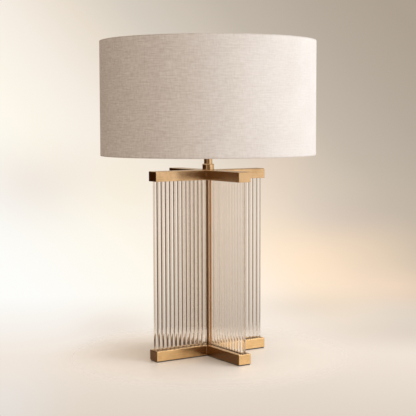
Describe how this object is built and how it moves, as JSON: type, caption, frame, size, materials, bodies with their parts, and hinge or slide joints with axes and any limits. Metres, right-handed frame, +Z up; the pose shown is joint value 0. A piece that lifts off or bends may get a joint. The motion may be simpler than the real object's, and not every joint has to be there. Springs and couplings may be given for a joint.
{
  "type": "column table lamp",
  "caption": "Table lamp with a cross of upright glass rods between brass bars and a wide linen drum shade on a harp.",
  "frame": {"origin": "centre of the felt's underside, where the lamp's axis meets the table", "axes": "+Z up along the lamp's axis; the bars of both crosses run along X and Y; the flex enters at the end of the +Y bar"},
  "size_m": [0.457, 0.457, 0.6776],
  "materials": {
    "brass": "satin brushed",
    "dark_brass": "satin",
    "zinc_steel": "zinc plated",
    "felt": "wool felt",
    "cushion_rubber": "matt",
    "rod_glass": "clear polished",
    "bulb_glass": "frosted",
    "bulb_metal": "rolled thread",
    "socket_plastic": "moulded phenolic",
    "socket_paper": "fibre sleeve",
    "black_plastic": "moulded",
    "linen": "slub linen",
    "liner_plastic": "styrene sheet",
    "white_wire": "white powder coat"
  },
  "bodies": {
    "stand": {"base_felt": "felt", "base_cross": "brass", "base_nut": "zinc_steel", "base_washer": "zinc_steel", "cable_gland": "brass", "cord_clamp": "socket_plastic", "clamp_screws": "zinc_steel", "lower_cushions": "cushion_rubber", "front_rods": "rod_glass", "rear_rods": "rod_glass", "left_rods": "rod_glass", "right_rods": "rod_glass", "centre_post": "brass", "threaded_tube": "zinc_steel", "upper_cushions": "cushion_rubber", "top_cross": "brass", "neck_collar": "brass", "collar_screw": "dark_brass", "neck_tube": "brass", "neck_cap": "brass", "harp_saddle": "brass", "socket_cap": "brass", "socket_shell": "brass", "socket_insulator": "socket_paper", "socket_body": "socket_plastic", "screw_shell": "dark_brass", "centre_contact": "dark_brass", "terminal_screws": "dark_brass", "harp_bow": "brass", "harp_seat": "brass"},
    "knob": {"switch_shaft": "dark_brass", "switch_knob": "black_plastic"},
    "bulb": {"bulb_glass": "bulb_glass", "bulb_cap": "bulb_metal", "bulb_contact": "dark_brass"},
    "left_ferrule": {"left_sleeve": "brass"},
    "right_ferrule": {"right_sleeve": "brass"},
    "top_nut": {"finial": "brass"},
    "shade": {"shade_spider": "white_wire", "shade_top_ring": "white_wire", "shade_bottom_ring": "white_wire", "shade_liner": "liner_plastic", "shade_cover": "linen"}
  },
  "joints": [
    {"name": "switch_turn", "type": "hinge", "parent": "stand", "child": "knob", "pos_m": [0, -0.019, 0.4805], "axis": [0, -1, 0], "continuous": true},
    {"name": "bulb_turn", "type": "hinge", "parent": "stand", "child": "bulb", "pos_m": [0, 0, 0.5], "axis": [0, 0, 1], "continuous": true},
    {"name": "left_sleeve_lift", "type": "slide", "parent": "stand", "child": "left_ferrule", "axis": [0, 0, 1], "range_m": [0, 0.014]},
    {"name": "right_sleeve_lift", "type": "slide", "parent": "stand", "child": "right_ferrule", "axis": [0, 0, 1], "range_m": [0, 0.014]},
    {"name": "finial_turn", "type": "hinge", "parent": "stand", "child": "top_nut", "pos_m": [0, 0, 0.66], "axis": [0, 0, 1], "continuous": true},
    {"name": "shade_turn", "type": "hinge", "parent": "stand", "child": "shade", "pos_m": [0, 0, 0.656], "axis": [0, 0, 1], "continuous": true}
  ]
}
